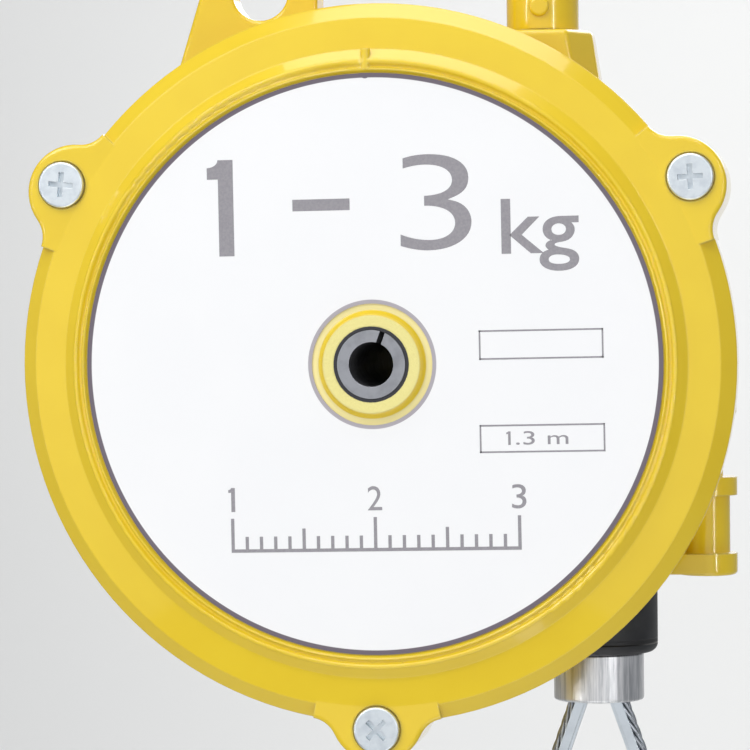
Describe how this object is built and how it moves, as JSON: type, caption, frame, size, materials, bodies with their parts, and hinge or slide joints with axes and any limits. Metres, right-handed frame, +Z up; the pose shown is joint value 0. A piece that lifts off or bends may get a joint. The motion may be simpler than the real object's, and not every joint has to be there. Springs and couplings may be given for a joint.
{
  "type": "tool balancer",
  "caption": "Round spring tool balancer: cast case with rating plate on a swivel hook, wire rope from a sprung drum, rubber buffer, swaged loop and latch hook.",
  "frame": {"origin": "top of the bowl of the upper hook, where the balancer hangs on its support", "axes": "+Z up along the hanging line, -Y is the front with the rating plate, +X to the right seen from the front"},
  "size_m": [0.15, 0.0673, 0.304],
  "materials": {
    "yellow_paint": "gloss enamel",
    "label_print": "satin white film with grey print",
    "zinc_screw": "bright zinc",
    "shaft_steel": "turned, oiled",
    "bright_steel": "bright zinc",
    "spring_steel": "blued",
    "black_polymer": "moulded",
    "black_rubber": "moulded, dull",
    "drum_aluminium": "cast and turned",
    "ferrule_aluminium": "turned",
    "case_iron": "machined",
    "worm_brass": "cut",
    "rope_steel": "galvanised strand",
    "dark_forging": "black oxide forging",
    "olive_zinc": "olive chromate"
  },
  "bodies": {
    "hook": {"upper_hook": "yellow_paint", "swivel_stem": "shaft_steel", "stem_washer": "bright_steel", "hook_pin": "yellow_paint", "upper_latch_rivet": "bright_steel"},
    "upper_latch": {"upper_latch": "bright_steel", "upper_latch_spring": "spring_steel"},
    "housing": {"rear_housing": "yellow_paint", "front_cover": "yellow_paint", "rating_label": "label_print", "cover_screws": "zinc_screw", "front_bush": "black_polymer", "rear_bush": "black_polymer", "rope_guide": "black_polymer", "adjuster_clip": "spring_steel"},
    "drum": {"drum": "drum_aluminium", "main_shaft": "shaft_steel", "drum_set_screw": "spring_steel", "drum_front_washer": "black_polymer", "drum_back_washer": "black_polymer", "rope_windings": "rope_steel", "rope_anchor": "ferrule_aluminium", "main_spring": "spring_steel"},
    "spring_case": {"spring_case": "case_iron", "spring_case_lid": "bright_steel", "lid_rivets": "bright_steel", "spring_anchor": "shaft_steel"},
    "worm": {"worm_gear": "worm_brass", "worm_pin": "shaft_steel", "adjuster_shaft": "shaft_steel"},
    "rope_end": {"rope_tail": "rope_steel", "rubber_buffer": "black_rubber", "ferrule": "ferrule_aluminium", "thimble": "bright_steel", "rope_loop": "rope_steel"},
    "lower_hook": {"lower_hook": "dark_forging", "lower_latch_rivet": "bright_steel"},
    "lower_latch": {"lower_latch": "olive_zinc", "lower_latch_spring": "spring_steel"}
  },
  "joints": [
    {"name": "housing_swivel", "type": "hinge", "parent": "hook", "child": "housing", "pos_m": [0, 0, -0.065], "axis": [0, 0, 1], "continuous": true},
    {"name": "upper_latch_open", "type": "hinge", "parent": "hook", "child": "upper_latch", "pos_m": [0, 0, -0.039], "axis": [0, -1, 0], "range_deg": [0, 38], "stiffness_Nm_per_rad": 0.02, "springref_deg": -34.38, "deforming": ["upper_latch_spring"]},
    {"name": "rope_travel", "type": "slide", "parent": "housing", "child": "rope_end", "axis": [0, 0, -1], "range_m": [0, 1.3], "stiffness_N_per_m": 4, "springref_m": -2.5, "deforming": ["rope_tail"]},
    {"name": "drum_spin", "type": "hinge", "parent": "housing", "child": "drum", "pos_m": [-0.033, 0, -0.135], "axis": [0, 1, 0], "range_deg": [0, 1693.33], "deforming": ["main_spring"]},
    {"name": "case_adjust", "type": "hinge", "parent": "housing", "child": "spring_case", "pos_m": [-0.033, 0.023, -0.135], "axis": [0, 1, 0], "range_deg": [-720, 720]},
    {"name": "worm_turn", "type": "hinge", "parent": "housing", "child": "worm", "pos_m": [0.0329, 0.0247, -0.155], "axis": [0, 0, 1], "range_deg": [-89290, 89290]},
    {"name": "lower_hook_swing", "type": "hinge", "parent": "rope_end", "child": "lower_hook", "pos_m": [0.011, 0, -0.2332], "axis": [1, 0, 0], "range_deg": [-70, 70]},
    {"name": "lower_latch_open", "type": "hinge", "parent": "lower_hook", "child": "lower_latch", "pos_m": [0.011, 0, -0.251], "axis": [1, 0, 0], "range_deg": [0, 38], "stiffness_Nm_per_rad": 0.02, "springref_deg": -34.38, "deforming": ["lower_latch_spring"]}
  ],
  "couplings": [
    {"joint": "drum_spin", "follows": "rope_travel", "rad_per_m": 22.727},
    {"joint": "worm_turn", "follows": "case_adjust", "ratio": 124}
  ]
}
